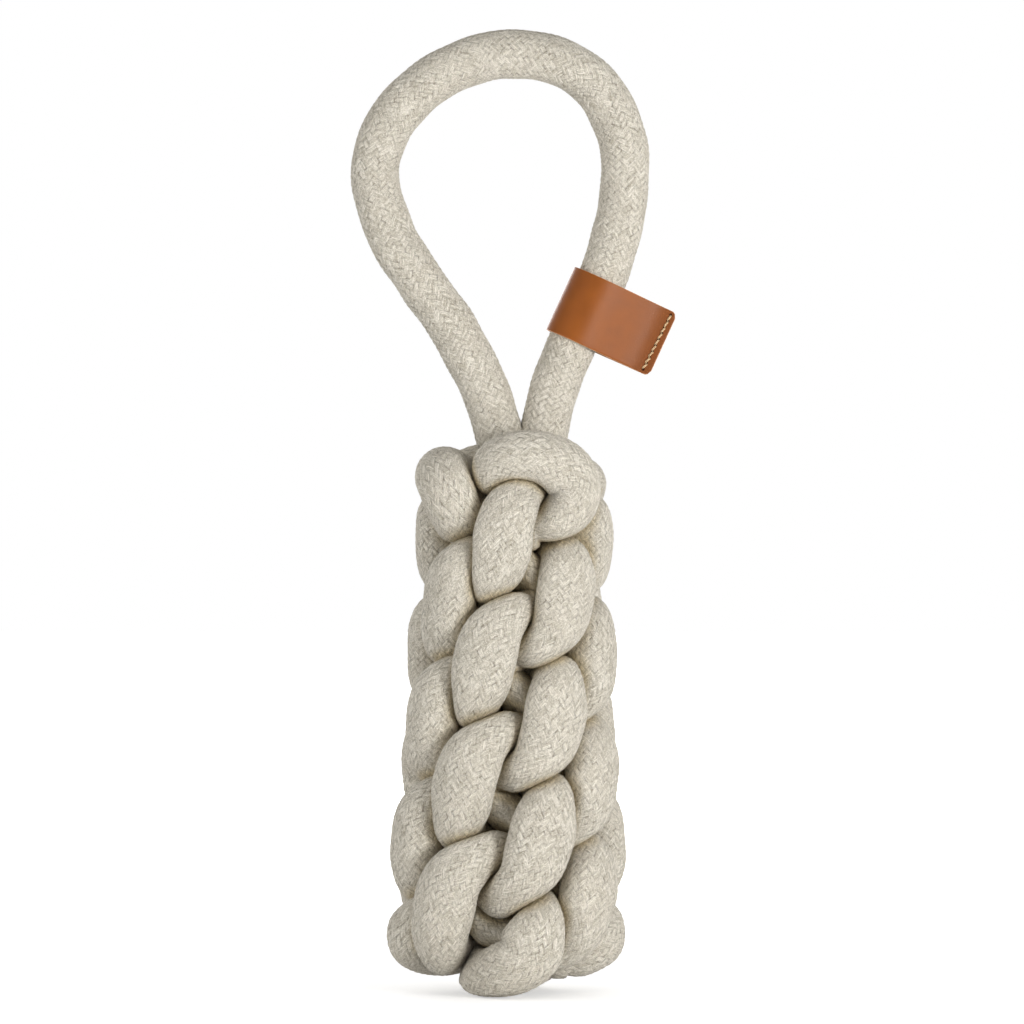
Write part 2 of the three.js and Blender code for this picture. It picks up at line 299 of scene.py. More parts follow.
CROWD_STEP = 2 * MM
NEARBY = 40 * MM
OWN_LENGTH = 32 * MM  # along a rope, within which it doesn't press on itself
LEG_SHOWN = 20 * MM
LEG_STATIONS = 12
crowd_points = []
crowd_ropes = []
crowd_places = []
for rope_name, route in routes.items():
    even = evenly(route, CROWD_STEP)
    crowd_points.append(even)
    crowd_ropes += [rope_name] * len(even)
    crowd_places.append(distances(even))
crowd_points = np.vstack(crowd_points)
crowd_ropes = np.array(crowd_ropes)
crowd_places = np.concatenate(crowd_places)


def from_middle(points):
    """How far points lie from the block's leaning middle line."""
    share = np.clip(points[..., 2] / (CROWN_COUNT * CROWN_RISE), 0, 1)
    return np.hypot(points[..., 0] + BLOCK_LEAN * (1 - share), points[..., 1])


crowd_radii = from_middle(crowd_points)
leg_stations = np.linspace(-LEG_TAIL, LEG_SHOWN, LEG_STATIONS)
leg_points = np.vstack([root + way * leg_stations[:, None] for root, way in zip(leg_roots, leg_ways)])


# The section of a pressed strand

REACH_STEP = 1.5 * MM
REACH_WAYS = 64
REACH_BLUR = 1.2  # in steps and in ways
LEAST_ROOM = 1 * MM
LEAST_LEG_ROOM = 0.5 * MM
LEAST_FACING = 0.05  # below which a neighbour isn't in the way
NO_LIMIT = 1  # metre, far more than any strand reaches


def pressed_reach(rope, line, places, along, across, other):
    """How far the strand reaches each way across it, and the share that its neighbours press away, the
    mask of painted crease shade.
    """
    angles = 2 * math.pi * np.arange(REACH_WAYS) / REACH_WAYS
    outward = unit(line * [1, 1, 0])
    flat = outward - along * (outward * along).sum(1, keepdims=True)
    pressed = (flat**2).sum(1) * along[:, 2] ** 2
    flat = unit(flat)
    core = 1 - smoothstep(CORE_RADIUS, CORE_RADIUS + CORE_FADE, from_middle(line))
    core *= smoothstep(*CORE_FOOT, line[:, 2]) - smoothstep(*CORE_HEAD, line[:, 2])
    wide = LOOSE_RADIUS + (FOLD_HALF_WIDTH - LOOSE_RADIUS) * pressed
    thin = LOOSE_RADIUS + (FOLD_PILLOW - LOOSE_RADIUS) * pressed
    reach = np.empty((len(line), REACH_WAYS))
    pressed_shade_share = np.empty_like(reach)
    for i, point in enumerate(line):
        ways = across[i] * np.cos(angles)[:, None] + other[i] * np.sin(angles)[:, None]
        share = (ways @ flat[i]) ** 2
        free = 1 / np.sqrt(share / thin[i] ** 2 + (1 - share) / wide[i] ** 2)
        free += CORE_SWELL * core[i] * smoothstep(*CORE_SIDE, ways @ outward[i])
        to = crowd_points - point
        apart = np.linalg.norm(to, axis=1)
        own = (crowd_ropes == rope) & (np.abs(crowd_places - places[i]) < OWN_LENGTH)
        near = (apart < NEARBY) & ~own
        to_leg = leg_points - point
        leg_apart = np.linalg.norm(to_leg, axis=1)
        outer = np.clip(from_middle(point) - crowd_radii[near], -OUTER_MOST, OUTER_MOST)
        limit = np.concatenate([
            np.maximum((apart[near] + OUTER_PUSH * outer / apart[near] - STRAND_GAP) / 2, LEAST_ROOM),
            np.maximum(leg_apart - ROPE_RADIUS - STRAND_GAP, LEAST_LEG_ROOM),
        ])
        facing = ways @ np.vstack([to[near] / apart[near][:, None], to_leg / leg_apart[:, None]]).T
        room = np.where(facing > LEAST_FACING, limit / np.maximum(facing, LEAST_FACING), NO_LIMIT).min(1)
        down = -ways[:, 2]
        floor = np.where(down > LEAST_FACING, point[2] / np.maximum(down, LEAST_FACING), NO_LIMIT)
        between = free**-PRESS_SHARPNESS + room**-PRESS_SHARPNESS
        reach[i] = (between + floor**-PRESS_SHARPNESS) ** (-1 / PRESS_SHARPNESS)
        kept = between ** (-1 / PRESS_SHARPNESS) / free
        # the share pressed away, faded out towards the floor: the mask for painted crease shade
        pressed_shade_share[i] = (1 - kept) * smoothstep(*CREASE_SHADE_FOOT, point[2])
    return reach, pressed_shade_share


def blurred(rows, sigma, axis, wrap):
    """A soft blur of an array along one axis."""
    half = math.ceil(3 * sigma)
    offsets = np.arange(-half, half + 1)
    weights = np.exp(-0.5 * (offsets / sigma) ** 2)
    weights /= weights.sum()
    pad = [(0, 0), (0, 0)]
    pad[axis] = (half, half)
    padded = np.pad(rows, pad, mode="wrap" if wrap else "edge")
    count = rows.shape[axis]
    return sum(w * np.take(padded, range(k, k + count), axis=axis) for k, w in enumerate(weights))


def rows_between(rows, at):
    """Rows of an array at fractional places, on a smooth curve through the rows."""
    low = np.clip(np.floor(at).astype(int), 0, len(rows) - 2)
    share = (at - low)[:, None]
    before, start, end, after = (rows[np.clip(low + k, 0, len(rows) - 1)] for k in (-1, 0, 1, 2))
    leave = (end - before) / 2
    arrive = (after - start) / 2
    square = 3 * (end - start) - 2 * leave - arrive
    cube = 2 * (start - end) + leave + arrive
    return start + leave * share + square * share**2 + cube * share**3


def sections(reach, sides):
    """Points round each section, equally spaced along its outline, and their directions."""
    fine = 4 * reach.shape[1]
    spectrum = np.fft.rfft(reach, axis=1)
    reach = np.fft.irfft(spectrum, n=fine, axis=1) * 4
    angles = 2 * math.pi * np.arange(fine + 1) / fine
    reach = np.hstack([reach, reach[:, :1]])
    x = reach * np.cos(angles)
    y = reach * np.sin(angles)
    outline = np.hypot(np.diff(x, axis=1), np.diff(y, axis=1))
    outline = np.hstack([np.zeros((len(reach), 1)), np.cumsum(outline, axis=1)])
    shares = np.arange(sides) / sides
    even = np.empty((len(reach), sides, 2))
    ways = np.empty((len(reach), sides))
    for i, round_line in enumerate(outline):
        at = shares * round_line[-1]
        ways[i] = np.interp(at, round_line, angles)
        even[i, :, 0] = np.interp(at, round_line, x[i])
        even[i, :, 1] = np.interp(at, round_line, y[i])
    return even, ways


# The braid


def wander(u, v, seed):
    """A slow, seamless unevenness between -1 and 1."""
    draw = np.random.default_rng(seed)
    total = 0
    for turns, length in ((1, 31), (2, 19), (1, 13), (3, 9), (2, 6)):
        phase = draw.uniform(0, 2 * math.pi)
        sign = draw.choice([-1, 1])
        total = total + np.sin(2 * math.pi * (sign * turns * u + v / length) + phase)
    return total / 3


def braid_places(u, along, pairs):
    """Where each point lies in the braid: round it, in pairs of columns, and along it, in picks."""
    v = along / PICK_PITCH
    return pairs * (u + COLUMN_WANDER * wander(u, v, 3)), v + PICK_WANDER * wander(u, v, 4)


def braid_relief(column, pick):
    """The height of the picks, over two and under two, from 0 between them to 1 on their backs."""
    right = pick + 2 * column
    left = pick - 2 * column
    over_right = (right - np.floor(left)) % 4
    over_left = (left - np.floor(right) + 3) % 4
    on_right = over_right < 2
    end = np.abs(np.where(on_right, over_right, over_left) - 1)
    side = np.abs(2 * np.where(on_right, left % 1, right % 1) - 1)
    return np.sqrt(1 - PICK_ROUNDNESS * side**2) * (1 - PICK_DIVE * end**3)


CLOSE_RINGS = (1.4 * MM, 0.6 * MM)  # from ring to ring, where rings are softened along the rope


def rope_object(name, line, places, reach, pressed_shade_share, frames, sides, pairs, softness):
    """A closed rope along a line, with the braid's picks raised on it and a map of the braid."""
    _, across, other = frames
    flat, ways = sections(reach, sides)
    angles = 2 * math.pi * np.arange(REACH_WAYS) / REACH_WAYS
    # that share at each point round the rings, for the painted crease shade
    pressed = np.array([
        np.interp(way, angles, row, period=2 * math.pi) for way, row in zip(ways, pressed_shade_share)
    ])
    rings = line[:, None] + across[:, None] * flat[..., :1] + other[:, None] * flat[..., 1:]
    soft = blurred(rings.reshape(len(line), -1), softness, 0, False).reshape(rings.shape)
    close = smoothstep(*CLOSE_RINGS, np.gradient(places))
    rings = rings + (soft - rings) * close[:, None, None]
    u = np.broadcast_to(np.arange(sides) / sides, rings.shape[:2])
    along_rope = np.broadcast_to(places[:, None], rings.shape[:2])
    column, pick = braid_places(u, along_rope, pairs)
    round_way = np.roll(rings, -1, axis=1) - np.roll(rings, 1, axis=1)
    normal = unit(np.cross(round_way, np.gradient(rings, axis=0)))
    height = PICK_RELIEF * (braid_relief(column, pick) - 0.5)
    height = height + UNEVENNESS * wander(u, along_rope / PICK_PITCH, 7)
    rings = rings + normal * height[..., None]
    rope = tube_object(name, rings, column, pick, pairs, cotton)
    # stored on the rope as the mask for painted crease shade
    pressed_shade_mask = rope.data.attributes.new("pressed_shade_mask", "FLOAT", "POINT")
    pressed_shade_mask.data.foreach_set("value", np.append(pressed, [0, 0]).astype(np.float32))
    return rope


def tube_object(name, rings, map_u, map_v, map_width, material):
    """A tube through rings of points, closed at both ends, with its map."""
    count, sides = rings.shape[:2]
    ring = np.arange(count - 1)[:, None] * sides
    side = np.arange(sides)[None]
    after = (side + 1) % sides
    quads = np.stack([ring + side, ring + after, ring + sides + after, ring + sides + side], axis=-1)
    poles = count * sides
    first = np.stack([np.full(sides, poles), after[0], side[0]], axis=-1)
    last_ring = (count - 1) * sides
    last = np.stack([np.full(sides, poles + 1), last_ring + side[0], last_ring + after[0]], axis=-1)
    vertices = np.vstack([rings.reshape(-1, 3), rings[0].mean(0), rings[-1].mean(0)])
    corners = np.concatenate([quads.reshape(-1), first.reshape(-1), last.reshape(-1)])
    quad_count = (count - 1) * sides
    starts = np.concatenate([4 * np.arange(quad_count), 4 * quad_count + 3 * np.arange(2 * sides)])
    mesh = bpy.data.meshes.new(name)
    mesh.vertices.add(len(vertices))
    mesh.vertices.foreach_set("co", vertices.astype(np.float32).reshape(-1))
    mesh.loops.add(len(corners))
    mesh.loops.foreach_set("vertex_index", corners.astype(np.int32))
    mesh.polygons.add(len(starts))
    mesh.polygons.foreach_set("loop_start", starts.astype(np.int32))
    mesh.polygons.foreach_set("use_smooth", np.ones(len(starts), bool))
    mesh.update(calc_edges=True)
    places = np.stack([map_u, map_v], axis=-1).reshape(-1, 2)
    places = np.vstack([places, places[0], places[-1]])[corners]
    seam = (side == sides - 1) & np.ones_like(ring, bool)
    wrapped = np.zeros((quad_count, 4), bool)
    wrapped[seam.reshape(-1)] = [False, True, True, False]
    places[: 4 * quad_count][wrapped.reshape(-1), 0] += map_width
    layer = mesh.uv_layers.new(name="braid")
    layer.data.foreach_set("uv", places.astype(np.float32).reshape(-1))
    mesh.materials.append(material)
    piece = bpy.data.objects.new(name, mesh)
    bpy.context.scene.collection.objects.link(piece)
    return piece


# Materials


def srgb(red, green, blue):
    """A colour written as on screen, in the shader's own scale."""
    parts = [channel / 255 for channel in (red, green, blue)]
    linear = [c / 12.92 if c <= 0.04045 else ((c + 0.055) / 1.055) ** 2.4 for c in parts]
    return (*linear, 1)


COTTON_DARK_YARN = srgb(186, 178, 160)
COTTON_PALE_YARN = srgb(242, 236, 222)
COTTON_PATCH = srgb(219, 211, 195)
COTTON_HOLLOW_SHADE = srgb(160, 151, 133)  # painted shade between fibres and in the hollows of the fuzz
# painted light on the raised fuzz
COTTON_FUZZ_LIGHT = srgb(245, 240, 230)
# painted shade in the grooves between a pick's yarns
COTTON_YARN_GROOVE_SHADE = srgb(158, 149, 131)
# painted shade beside the picks and at their ends, where they dive under others
COTTON_PICK_SIDE_SHADE = srgb(146, 137, 119)
COTTON_PICK_END_SHADE = srgb(100, 91, 75)
# painted crease shade: a warm darkening multiplied in where strands press on each other
COTTON_CREASE_SHADE = srgb(255, 246, 224)
LEATHER_DARK = srgb(127, 67, 14)
LEATHER_LIGHT = srgb(137, 74, 18)
# painted shade towards the free ends of the strip
LEATHER_END_SHADE = srgb(104, 54, 14)
EDGE_DARK = srgb(170, 110, 64)
EDGE_LIGHT = srgb(208, 152, 104)
FLESH_DARK = srgb(140, 96, 60)
FLESH_LIGHT = srgb(172, 126, 86)
# painted shade in the grooves between the thread's plies
THREAD_PLY_GROOVE_SHADE = srgb(150, 112, 70)
THREAD_LIGHT = srgb(218, 190, 148)


def attach(tree, value, socket):
    if isinstance(value, bpy.types.NodeSocket):
        tree.links.new(value, socket)
    else:
        socket.default_value = value


def calc(tree, operation, *values):
    node = tree.nodes.new("ShaderNodeMath")
    node.operation = operation
    for value, socket in zip(values, node.inputs):
        attach(tree, value, socket)
    return node.outputs[0]


def mixed(tree, share, first, second, blend="MIX"):
    node = tree.nodes.new("ShaderNodeMix")
    node.data_type = "RGBA"
    node.blend_type = blend
    attach(tree, share, node.inputs["Factor"])
    attach(tree, first, node.inputs["A"])
    attach(tree, second, node.inputs["B"])
    return node.outputs["Result"]


def ranged(tree, value, low, high, to_low=0.0, to_high=1.0):
    node = tree.nodes.new("ShaderNodeMapRange")
    attach(tree, value, node.inputs["Value"])
    node.inputs["From Min"].default_value = low
    node.inputs["From Max"].default_value = high
    node.inputs["To Min"].default_value = to_low
    node.inputs["To Max"].default_value = to_high
    return node.outputs["Result"]


def noise(tree, vector, scale, detail=2.0, roughness=0.5):
    node = tree.nodes.new("ShaderNodeTexNoise")
    tree.links.new(vector, node.inputs["Vector"])
    node.inputs["Scale"].default_value = scale
    node.inputs["Detail"].default_value = detail
    node.inputs["Roughness"].default_value = roughness
    return node.outputs["Fac"]


def combined(tree, x, y, z=0.0):
    node = tree.nodes.new("ShaderNodeCombineXYZ")
    for value, socket in zip((x, y, z), node.inputs):
        attach(tree, value, socket)
    return node.outputs[0]


def new_material(name):
    material = bpy.data.materials.new(name)
    material.use_nodes = True
    tree = material.node_tree
    shader = tree.nodes["Principled BSDF"]
    return material, tree, shader


def raise_surface(tree, shader, height, distance, strength=1.0):
    bump = tree.nodes.new("ShaderNodeBump")
    bump.inputs["Strength"].default_value = strength
    bump.inputs["Distance"].default_value = distance
    tree.links.new(height, bump.inputs["Height"])
    tree.links.new(bump.outputs["Normal"], shader.inputs["Normal"])


def chosen(tree, share, first, second):
    return calc(tree, "MULTIPLY_ADD", share, calc(tree, "SUBTRACT", first, second), second)


def braid_group():
    """The picks of a braid from its map: their height, yarns, fibres and tones, and where they end."""
    group = bpy.data.node_groups.new("braid picks", "ShaderNodeTree")
    interface = group.interface
    interface.new_socket("Map", in_out="INPUT", socket_type="NodeSocketVector")
    interface.new_socket("Spot", in_out="INPUT", socket_type="NodeSocketVector")
    for output in ("Height", "Yarn Height", "Side", "End", "Tone", "Pick", "Fibres"):
        interface.new_socket(output, in_out="OUTPUT", socket_type="NodeSocketFloat")
    inlet = group.nodes.new("NodeGroupInput")
    outlet = group.nodes.new("NodeGroupOutput")
    split = group.nodes.new("ShaderNodeSeparateXYZ")
    group.links.new(inlet.outputs["Map"], split.inputs[0])
    spot = inlet.outputs["Spot"]
    column = calc(group, "MULTIPLY_ADD", noise(group, spot, 560), 0.12, split.outputs["X"])
    pick = calc(group, "MULTIPLY_ADD", noise(group, spot, 730), 0.24, split.outputs["Y"])
    right = calc(group, "MULTIPLY_ADD", column, 2.0, pick)
    left = calc(group, "MULTIPLY_ADD", column, -2.0, pick)
    right_line = calc(group, "FLOOR", right)
    left_line = calc(group, "FLOOR", left)
    from_left = calc(group, "SUBTRACT", right, left_line)
    from_right = calc(group, "ADD", calc(group, "SUBTRACT", left, right_line), 3.0)
    over_right = calc(group, "FLOORED_MODULO", from_left, 4.0)
    over_left = calc(group, "FLOORED_MODULO", from_right, 4.0)
    on_right = calc(group, "LESS_THAN", over_right, 2.0)
    along = chosen(group, on_right, over_right, over_left)
    across = chosen(group, on_right, calc(group, "FRACT", left), calc(group, "FRACT", right))
    end = calc(group, "ABSOLUTE", calc(group, "SUBTRACT", along, 1.0))
    side = calc(group, "ABSOLUTE", calc(group, "MULTIPLY_ADD", across, 2.0, -1.0))
    side_square = calc(group, "POWER", side, 2.0)
    back = calc(group, "SQRT", calc(group, "MULTIPLY_ADD", side_square, -PICK_ROUNDNESS, 1.0))
    dive = calc(group, "MULTIPLY_ADD", calc(group, "POWER", end, 3.0), -PICK_DIVE, 1.0)
    yarns = calc(group, "MULTIPLY", across, float(YARNS))
    yarn = calc(group, "FLOOR", yarns)
    yarn_side = calc(group, "MULTIPLY_ADD", calc(group, "SUBTRACT", yarns, yarn), 2.0, -1.0)
    yarn_square = calc(group, "POWER", calc(group, "ABSOLUTE", yarn_side), 2.0)
    yarn_height = calc(group, "SUBTRACT", 1.0, yarn_square)
    line = chosen(group, on_right, left_line, right_line)
    passed = chosen(group, on_right, from_left, from_right)
    repeat = calc(group, "FLOOR", calc(group, "DIVIDE", passed, 4.0))
    which_yarn = calc(group, "MULTIPLY_ADD", on_right, 10.0, yarn)
    tones = []
    for which in (which_yarn, calc(group, "MULTIPLY", on_right, 30.0)):
        random = group.nodes.new("ShaderNodeTexWhiteNoise")
        random.noise_dimensions = "3D"
        group.links.new(combined(group, line, repeat, which), random.inputs["Vector"])
        tones.append(random.outputs["Value"])
    strokes = combined(
        group,
        calc(group, "MULTIPLY", across, 9.0),
        calc(group, "MULTIPLY", along, 1.6),
        calc(group, "MULTIPLY", tones[1], 50.0),
    )
    group.links.new(calc(group, "MULTIPLY", back, dive), outlet.inputs["Height"])
    group.links.new(yarn_height, outlet.inputs["Yarn Height"])
    group.links.new(side, outlet.inputs["Side"])
    group.links.new(end, outlet.inputs["End"])
    group.links.new(tones[0], outlet.inputs["Tone"])
    group.links.new(tones[1], outlet.inputs["Pick"])
    group.links.new(noise(group, strokes, 1.0), outlet.inputs["Fibres"])
    return group


def cotton_material():
    material, tree, shader = new_material("braided cotton")
    places = tree.nodes.new("ShaderNodeUVMap")
    places.uv_map = "braid"
    spot = tree.nodes.new("ShaderNodeTexCoord").outputs["Object"]
    picks = tree.nodes.new("ShaderNodeGroup")
    picks.node_tree = braid_group()
    tree.links.new(places.outputs["UV"], picks.inputs["Map"])
    tree.links.new(spot, picks.inputs["Spot"])
    fibres = picks.outputs["Fibres"]
    fuzz = noise(tree, spot, scale=2600, detail=3.0, roughness=0.65)
    patches = noise(tree, spot, scale=90)
    # patches in which the painted groove shade of the picks is stronger
    groove_shade_patches = noise(tree, spot, scale=420, detail=3.0, roughness=0.6)
    tone = mixed(tree, picks.outputs["Tone"], COTTON_DARK_YARN, COTTON_PALE_YARN)
    tone = mixed(tree, ranged(tree, patches, 0.35, 0.7, 0.0, 0.5), tone, COTTON_PATCH)
    # painted shade where the fibre strokes are low, painted light on the raised fuzz and painted shade
    # in its hollows
    tone = mixed(tree, ranged(tree, fibres, 0.52, 0.3, 0.0, 0.8), tone, COTTON_HOLLOW_SHADE)
    tone = mixed(tree, ranged(tree, fuzz, 0.48, 0.66, 0.0, 0.8), tone, COTTON_FUZZ_LIGHT)
    tone = mixed(tree, ranged(tree, fuzz, 0.46, 0.3, 0.0, 0.75), tone, COTTON_HOLLOW_SHADE)
    # painted shade in the grooves between yarns, where the yarns' height drops
    yarn_groove_shade = ranged(tree, picks.outputs["Yarn Height"], 0.0, 0.6, 0.45, 0.0)
    tone = mixed(tree, yarn_groove_shade, tone, COTTON_YARN_GROOVE_SHADE)
    # painted shade in the grooves beside the picks and where they dive under, patchy
    strength = ranged(tree, groove_shade_patches, 0.4, 0.62, 0.0, 0.5)
    side = calc(tree, "MULTIPLY", ranged(tree, picks.outputs["Side"], 0.6, 1.0), strength)
    tone = mixed(tree, side, tone, COTTON_PICK_SIDE_SHADE)
    strength = calc(tree, "MULTIPLY", strength, ranged(tree, picks.outputs["Pick"], 0.0, 1.0, 0.2, 1.7))
    end = calc(tree, "MULTIPLY", ranged(tree, picks.outputs["End"], 0.6, 1.0), strength)
    tone = mixed(tree, end, tone, COTTON_PICK_END_SHADE)
    # painted shade: creases darkened and warmed where neighbours press a strand away
    pressed_shade_mask = tree.nodes.new("ShaderNodeAttribute")
    pressed_shade_mask.attribute_name = "pressed_shade_mask"
    crease_shade = ranged(tree, pressed_shade_mask.outputs["Fac"], 0.04, 0.25)
    colour = mixed(tree, crease_shade, tone, COTTON_CREASE_SHADE, "MULTIPLY")
    tree.links.new(colour, shader.inputs["Base Color"])
    shader.inputs["Roughness"].default_value = 0.95
    shader.inputs["Specular IOR Level"].default_value = 0.12
    shader.inputs["Sheen Weight"].default_value = 0.12
    shader.inputs["Sheen Roughness"].default_value = 0.5
    height = calc(tree, "MULTIPLY", picks.outputs["Height"], 0.45)
    height = calc(tree, "MULTIPLY_ADD", picks.outputs["Yarn Height"], 0.55, height)
    height = calc(tree, "MULTIPLY_ADD", fibres, 0.6, height)
    height = calc(tree, "MULTIPLY_ADD", fuzz, 0.9, height)
    raise_surface(tree, shader, height, 0.3 * MM)
    return material


def leather_material():
    material, tree, shader = new_material("tan leather")
    spot = tree.nodes.new("ShaderNodeTexCoord").outputs["Object"]
    cloud = noise(tree, spot, scale=160, detail=3.0)
    colour = mixed(tree, ranged(tree, cloud, 0.3, 0.7), LEATHER_DARK, LEATHER_LIGHT)
    places = tree.nodes.new("ShaderNodeUVMap")
    places.uv_map = "UVMap"
    split = tree.nodes.new("ShaderNodeSeparateXYZ")
    tree.links.new(places.outputs["UV"], split.inputs[0])
    # painted shade: darker towards both free ends of the strip
    from_ends = calc(tree, "PINGPONG", split.outputs["Y"], 0.5)
    end_shade = ranged(tree, from_ends, 0.16, 0.02, 0.0, 0.6)
    colour = mixed(tree, end_shade, colour, LEATHER_END_SHADE)
    tree.links.new(colour, shader.inputs["Base Color"])
    shader.inputs["Coat Weight"].default_value = 0.12
    shader.inputs["Coat Roughness"].default_value = 0.35
    tree.links.new(ranged(tree, cloud, 0.3, 0.7, 0.44, 0.52), shader.inputs["Roughness"])
    shader.inputs["Specular IOR Level"].default_value = 0.16
    grain = tree.nodes.new("ShaderNodeTexVoronoi")
    tree.links.new(spot, grain.inputs["Vector"])
    grain.inputs["Scale"].default_value = 1900
    fine = noise(tree, spot, scale=3200, detail=2.0)
    height = calc(tree, "MULTIPLY_ADD", fine, 0.5, grain.outputs["Distance"])
    raise_surface(tree, shader, height, 0.03 * MM, 0.6)
    return material


def edge_material():
    material, tree, shader = new_material("burnished leather edge")
    spot = tree.nodes.new("ShaderNodeTexCoord").outputs["Object"]
    cloud = noise(tree, spot, scale=700, detail=3.0)
    colour = mixed(tree, ranged(tree, cloud, 0.3, 0.7), EDGE_DARK, EDGE_LIGHT)
    tree.links.new(colour, shader.inputs["Base Color"])
    shader.inputs["Roughness"].default_value = 0.6
    raise_surface(tree, shader, cloud, 0.06 * MM)
    return material


def flesh_material():
    material, tree, shader = new_material("leather flesh side")
    spot = tree.nodes.new("ShaderNodeTexCoord").outputs["Object"]
    nap = noise(tree, spot, scale=1500, detail=4.0, roughness=0.65)
    colour = mixed(tree, ranged(tree, nap, 0.3, 0.7), FLESH_DARK, FLESH_LIGHT)
    tree.links.new(colour, shader.inputs["Base Color"])
    shader.inputs["Roughness"].default_value = 0.9
    raise_surface(tree, shader, nap, 0.1 * MM)
    return material


def thread_material():
    material, tree, shader = new_material("waxed thread")
    places = tree.nodes.new("ShaderNodeUVMap")
    places.uv_map = "braid"
    split = tree.nodes.new("ShaderNodeSeparateXYZ")
    tree.links.new(places.outputs["UV"], split.inputs[0])
    ply = calc(tree, "MULTIPLY_ADD", split.outputs["X"], 3.0, split.outputs["Y"])
    ply = calc(tree, "ABSOLUTE", calc(tree, "SINE", calc(tree, "MULTIPLY", ply, math.pi)))
    # painted shade in the grooves between plies, where the bump's height is low
    colour = mixed(tree, ply, THREAD_PLY_GROOVE_SHADE, THREAD_LIGHT)
    tree.links.new(colour, shader.inputs["Base Color"])
    shader.inputs["Roughness"].default_value = 0.7
    raise_surface(tree, shader, ply, 0.1 * MM)
    return material


cotton = cotton_material()
leather = leather_material()
leather_edge = edge_material()
leather_flesh = flesh_material()
thread = thread_material()


# The knotted strands

STRAND_SIDES = 88
STRAND_RINGS = 1080
STRAND_SOFTNESS = 6  # in rings
SHOWN_STEP = 0.45  # from ring to ring, in proportion
HIDDEN_STEP = 1.7
SHOWN_OUTSIDE = (15.5 * MM, 19.5 * MM)  # radii between which a strand comes into view
SHOWN_ABOVE = (162 * MM, 169 * MM)  # heights between which it does, at the top
SHOWN_BELOW = (14 * MM, 8 * MM)  # and at the bottom


def ring_places(line, places, count):
    """Places along a strand, close together where it shows."""
    shows = np.maximum.reduce([
        smoothstep(*SHOWN_OUTSIDE, np.hypot(line[:, 0], line[:, 1])),
        smoothstep(*SHOWN_ABOVE, line[:, 2]),
        smoothstep(*SHOWN_BELOW, line[:, 2]),
    ])
    density = 1 / (HIDDEN_STEP + (SHOWN_STEP - HIDDEN_STEP) * shows)
    total = np.concatenate([[0], np.cumsum((density[1:] + density[:-1]) / 2 * np.diff(places))])
    return np.interp(np.linspace(0, total[-1], count), total, places)


def strand_object(name, rope, first, last):
    """One strand of the block: the stretch of a rope's route from one share of its length to another."""
    route = routes[rope]
    length = distances(route)[-1]
    count = round(length * (last - first) / REACH_STEP)
    places = np.linspace(first * length, last * length, count + 1)
    line = points_at(route, places)
    frames = frames_along(line, (1, 0, 0))
    reach, pressed_shade_share = pressed_reach(rope, line, places, *frames)
    reach = blurred(blurred(reach, REACH_BLUR, 0, False), REACH_BLUR, 1, True)
    fine_places = ring_places(line, places, STRAND_RINGS)
    at = (fine_places - places[0]) / (places[1] - places[0])
    fine_line = rows_between(line, at)
    along, across, _ = (unit(rows_between(axis, at)) for axis in frames)
    across = unit(across - along * (across * along).sum(1, keepdims=True))
    fine_frames = (along, across, np.cross(along, across))
    fine_reach = rows_between(reach, at)
    route_end = length if rope == "cross" else math.inf
    from_start = np.minimum(fine_places, route_end - fine_places)
    round_end = np.clip(from_start / START_ROUND, START_LEAST, 1)
    fine_reach = fine_reach * np.sqrt(1 - (1 - round_end) ** 2)[:, None]
    pressed_shade_share = rows_between(pressed_shade_share, at)
    return rope_object(
        name,
        fine_line,
        fine_places,
        fine_reach,
        pressed_shade_share,
        fine_frames,
        STRAND_SIDES,
        STRAND_PAIRS,
        STRAND_SOFTNESS,
    )


for piece_name, rope, first, last, node in (
    ("strand_left", "left", 0, 1, "handle_strand_left"),
    ("strand_right", "right", 0, 1, "handle_strand_right"),
    ("cross_rope_front", "cross", 0, 0.5, "cross_rope"),
    ("cross_rope_back", "cross", 0.5, 1, "cross_rope"),
):
    strand = strand_object(piece_name, rope, first, last)
    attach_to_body(strand, "block")
    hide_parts(node)


# The loop

LOOP_SIDES = 104
LOOP_RINGS = 940
LOOP_SOFTNESS = 1  # in rings

leg_tails = [root - way * LEG_TAIL for root, way in zip(leg_roots, leg_ways)]
whole_loop = evenly(np.vstack([leg_tails[0], loop_line, leg_tails[1]]), LOOP_STEP)


def loop_object():
    places = np.linspace(0, distances(whole_loop)[-1], LOOP_RINGS)
    line = points_at(whole_loop, places)
    reach = np.full((LOOP_RINGS, REACH_WAYS), ROPE_RADIUS)
    frames = frames_along(line, (0, 1, 0))
    # no painted crease shade on the loop
    free = np.zeros_like(reach)
    return rope_object(
        "loop_rope", line, places, reach, free, frames, LOOP_SIDES, LOOP_PAIRS, LOOP_SOFTNESS
    )


loop = loop_object()
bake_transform(loop)
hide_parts("handle_loop")


# The tag, drawn across the leg: x towards the free end, y to the back, z along the leg

loop_length = distances(loop_line)[-1]
tag_middle = points_at(loop_line, np.array([loop_length - TAG_FROM_ROOT]))[0]
tag_ends = points_at(loop_line, loop_length - TAG_FROM_ROOT + np.array([0.5, -0.5]) * MM)
tag_way = unit(tag_ends[1] - tag_ends[0])


def on_leg(points):
    """From the tag's own drawing to its place on the leg."""
    x, y, z = np.moveaxis(np.asarray(points, float), -1, 0)
    return np.stack([
        tag_middle[0] + x * tag_way[2] + z * tag_way[0],
        y,
        tag_middle[2] - x * tag_way[0] + z * tag_way[2],
    ], axis=-1)


FOLD_STEPS = 60


